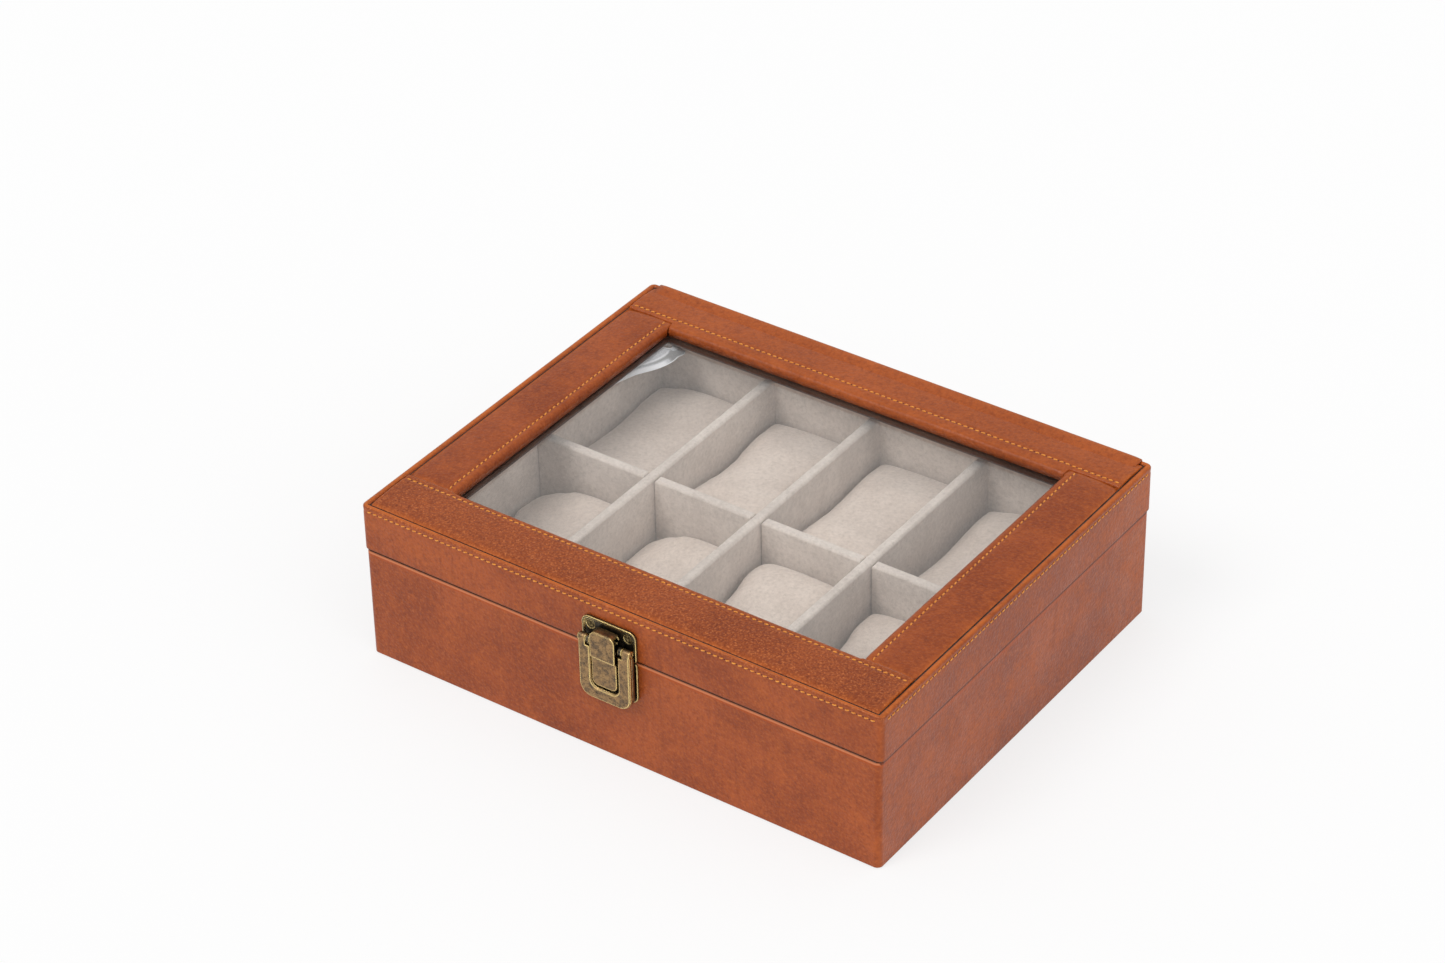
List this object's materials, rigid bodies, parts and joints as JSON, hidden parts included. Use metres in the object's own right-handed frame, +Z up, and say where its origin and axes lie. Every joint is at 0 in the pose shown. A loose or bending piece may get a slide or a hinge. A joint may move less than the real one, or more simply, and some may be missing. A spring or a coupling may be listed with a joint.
{
  "type": "watch case",
  "caption": "Leather-covered case with a glazed lift-up lid, suede compartments with loose cushions, a lever latch and butt hinges.",
  "frame": {"origin": "middle of the underside of the case, on the surface it stands on", "axes": "+X along the length, +Y from the latch to the hinges, +Z up"},
  "size_m": [0.3, 0.2522, 0.0903],
  "materials": {
    "cognac_leather": "semi-matte grained cognac hide",
    "suede": "short-napped taupe suede",
    "cushion_suede": "soft beige microsuede",
    "glass": "clear polished sheet glass",
    "dark_wood": "dark brown stained strip",
    "carcass_board": "fibreboard, lined with suede where it shows",
    "felt": "dark brown felt",
    "satin_ribbon": "silver-white satin",
    "antique_brass": "antiqued brass, dark patina with rubbed edges"
  },
  "bodies": {
    "base": {"base_back_board": "carcass_board", "base_front_board": "carcass_board", "base_leather": "cognac_leather", "base_left_board": "carcass_board", "base_right_board": "carcass_board", "bottom_felt": "felt", "cross_divider_1": "suede", "cross_divider_2": "suede", "cross_divider_3": "suede", "cross_divider_4": "suede", "divider_left": "suede", "divider_middle": "suede", "divider_right": "suede", "floor_board": "carcass_board", "hinge_base_leaves": "antique_brass", "hinge_base_screws": "antique_brass", "hinge_pins": "antique_brass", "latch_base_plate": "antique_brass", "latch_pivot_pins": "antique_brass", "latch_plate_screws": "antique_brass", "stay_ribbon": "satin_ribbon", "tray_back_wall": "suede", "tray_floor": "suede", "tray_front_wall": "suede", "tray_left_wall": "suede", "tray_right_wall": "suede"},
    "lid": {"back_panel": "cognac_leather", "front_panel": "cognac_leather", "glass_pane": "glass", "glass_retainer_back": "dark_wood", "glass_retainer_front": "dark_wood", "glass_retainer_left": "dark_wood", "glass_retainer_right": "dark_wood", "hinge_lid_leaves": "antique_brass", "hinge_lid_screws": "antique_brass", "left_panel": "cognac_leather", "lid_back_band": "cognac_leather", "lid_back_board": "carcass_board", "lid_back_rail": "carcass_board", "lid_front_board": "carcass_board", "lid_front_rail": "carcass_board", "lid_left_board": "carcass_board", "lid_left_rail": "carcass_board", "lid_right_board": "carcass_board", "lid_right_rail": "carcass_board", "lid_side_band": "cognac_leather", "right_panel": "cognac_leather", "strike_plate": "antique_brass", "strike_screws": "antique_brass"},
    "latch_lever": {"latch_lever": "antique_brass", "latch_link_pin": "antique_brass"},
    "latch_hook": {"latch_hook": "antique_brass"},
    "cushion_back_1": {"cushion_back_1": "cushion_suede"},
    "cushion_back_2": {"cushion_back_2": "cushion_suede"},
    "cushion_back_3": {"cushion_back_3": "cushion_suede"},
    "cushion_back_4": {"cushion_back_4": "cushion_suede"},
    "cushion_front_1": {"cushion_front_1": "cushion_suede"},
    "cushion_front_2": {"cushion_front_2": "cushion_suede"},
    "cushion_front_3": {"cushion_front_3": "cushion_suede"},
    "cushion_front_4": {"cushion_front_4": "cushion_suede"}
  },
  "joints": [
    {"name": "lid_hinge", "type": "hinge", "parent": "base", "child": "lid", "pos_m": [0, 0.1226, 0.06265], "axis": [-1, 0, 0], "range_deg": [0, 100], "deforming": ["stay_ribbon"]},
    {"name": "latch_lever_hinge", "type": "hinge", "parent": "base", "child": "latch_lever", "pos_m": [-0.001, -0.1245, 0.0695], "axis": [-1, 0, 0], "range_deg": [0, 65]},
    {"name": "latch_hook_hinge", "type": "hinge", "parent": "latch_lever", "child": "latch_hook", "pos_m": [-0.001, -0.1243, 0.057], "axis": [-1, 0, 0], "range_deg": [-25, 0]},
    {"name": "cushion_back_1_lift", "type": "slide", "parent": "base", "child": "cushion_back_1", "axis": [0, 0, 1], "range_m": [0, 0.025]},
    {"name": "cushion_back_2_lift", "type": "slide", "parent": "base", "child": "cushion_back_2", "axis": [0, 0, 1], "range_m": [0, 0.025]},
    {"name": "cushion_back_3_lift", "type": "slide", "parent": "base", "child": "cushion_back_3", "axis": [0, 0, 1], "range_m": [0, 0.025]},
    {"name": "cushion_back_4_lift", "type": "slide", "parent": "base", "child": "cushion_back_4", "axis": [0, 0, 1], "range_m": [0, 0.025]},
    {"name": "cushion_front_1_lift", "type": "slide", "parent": "base", "child": "cushion_front_1", "axis": [0, 0, 1], "range_m": [0, 0.025]},
    {"name": "cushion_front_2_lift", "type": "slide", "parent": "base", "child": "cushion_front_2", "axis": [0, 0, 1], "range_m": [0, 0.025]},
    {"name": "cushion_front_3_lift", "type": "slide", "parent": "base", "child": "cushion_front_3", "axis": [0, 0, 1], "range_m": [0, 0.025]},
    {"name": "cushion_front_4_lift", "type": "slide", "parent": "base", "child": "cushion_front_4", "axis": [0, 0, 1], "range_m": [0, 0.025]}
  ],
  "couplings": [
    {"joint": "latch_hook_hinge", "follows": "latch_lever_hinge", "ratio": -0.38}
  ]
}
